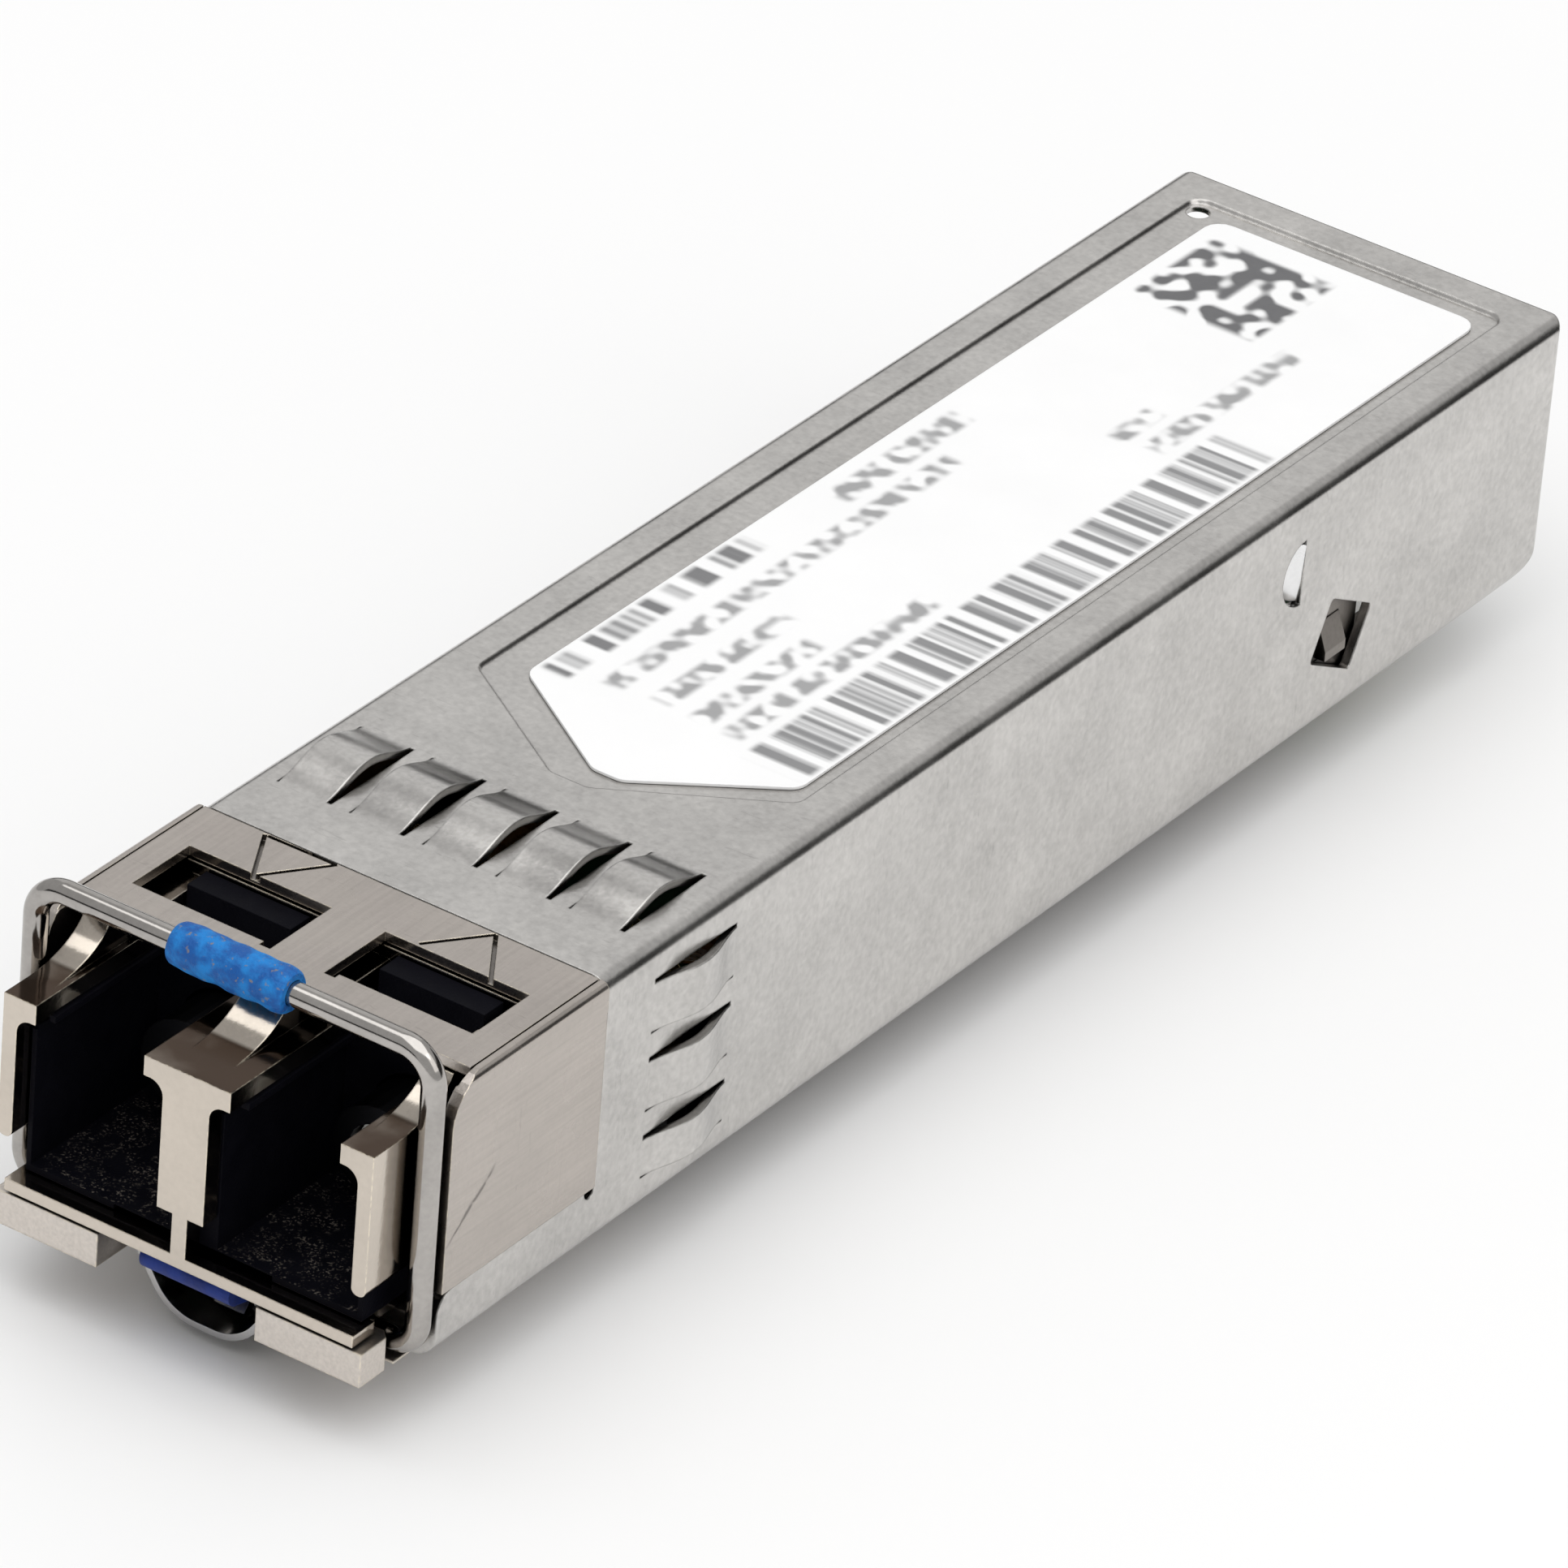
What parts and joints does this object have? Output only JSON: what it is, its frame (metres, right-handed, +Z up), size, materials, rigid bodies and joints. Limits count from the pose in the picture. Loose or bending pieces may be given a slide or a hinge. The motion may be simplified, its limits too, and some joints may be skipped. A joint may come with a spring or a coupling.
{
  "type": "optical transceiver module",
  "caption": "Pluggable duplex-fibre optical transceiver in a folded metal sleeve, with LC ports, a wire bail and a rocking latch lever that frees it from its cage.",
  "frame": {"origin": "middle of the flat underside, on the centreline, half way along the module", "axes": "+Y from the port end to the card-edge end, +Z up from the underside to the label, +X to the right when looking into the ports"},
  "size_m": [0.0142, 0.0564, 0.0118],
  "materials": {
    "sleeve_steel": "satin rolled stainless sheet",
    "cast_zinc": "plated zinc die casting",
    "nose_nickel": "satin nickel plate",
    "black_plastic": "black moulded polymer",
    "bright_wire": "bright drawn wire",
    "blue_rubber": "blue rubber sleeve with a mottled skin",
    "blue_plastic": "dark blue moulded plastic",
    "spring_steel": "bright pressed spring steel",
    "ceramic": "polished zirconia",
    "gold_plate": "gold plate",
    "film_amber": "amber polyimide film",
    "board_green": "green solder mask",
    "chip_black": "black moulded package",
    "capacitor_tan": "tan ceramic body",
    "label_paper": "white printed film label"
  },
  "bodies": {
    "module_body": {"outer_sleeve": "sleeve_steel", "nose_base": "cast_zinc", "base_housing": "cast_zinc", "nose_frame": "nose_nickel", "nose_top_plate": "nose_nickel", "nose_side_plate_left": "nose_nickel", "nose_side_plate_right": "nose_nickel", "lc_receptacle": "black_plastic", "osa_holder": "black_plastic", "lever_pivot_pin": "spring_steel", "latch_return_spring": "spring_steel", "tosa_barrel": "spring_steel", "rosa_barrel": "spring_steel", "tosa_ferrule_sleeve": "ceramic", "rosa_ferrule_sleeve": "ceramic", "tosa_can": "gold_plate", "rosa_can": "gold_plate", "edge_contact_top_01": "gold_plate", "edge_contact_top_02": "gold_plate", "edge_contact_top_03": "gold_plate", "edge_contact_top_04": "gold_plate", "edge_contact_top_05": "gold_plate", "edge_contact_top_06": "gold_plate", "edge_contact_top_07": "gold_plate", "edge_contact_top_08": "gold_plate", "edge_contact_top_09": "gold_plate", "edge_contact_top_10": "gold_plate", "edge_contact_bottom_01": "gold_plate", "edge_contact_bottom_02": "gold_plate", "edge_contact_bottom_03": "gold_plate", "edge_contact_bottom_04": "gold_plate", "edge_contact_bottom_05": "gold_plate", "edge_contact_bottom_06": "gold_plate", "edge_contact_bottom_07": "gold_plate", "edge_contact_bottom_08": "gold_plate", "edge_contact_bottom_09": "gold_plate", "edge_contact_bottom_10": "gold_plate", "tosa_flex": "film_amber", "rosa_flex": "film_amber", "circuit_board": "board_green", "laser_driver_chip": "chip_black", "post_amplifier_chip": "chip_black", "controller_chip": "chip_black", "capacitor_1": "capacitor_tan", "capacitor_2": "capacitor_tan", "capacitor_3": "capacitor_tan", "capacitor_4": "capacitor_tan", "label": "label_paper"},
    "bail": {"bail_wire": "bright_wire", "bail_grip": "blue_rubber", "latch_cam": "blue_plastic"},
    "latch_lever": {"latch_lever": "spring_steel"}
  },
  "joints": [
    {"name": "bail_hinge", "type": "hinge", "parent": "module_body", "child": "bail", "pos_m": [0, -0.0264, 0.0006], "axis": [1, 0, 0], "range_deg": [0, 90]},
    {"name": "lever_hinge", "type": "hinge", "parent": "module_body", "child": "latch_lever", "pos_m": [0, -0.02165, 0.00068], "axis": [1, 0, 0], "range_deg": [0, 5], "deforming": ["latch_return_spring"]}
  ],
  "couplings": [
    {"joint": "lever_hinge", "follows": "bail_hinge", "ratio": 0.055}
  ]
}
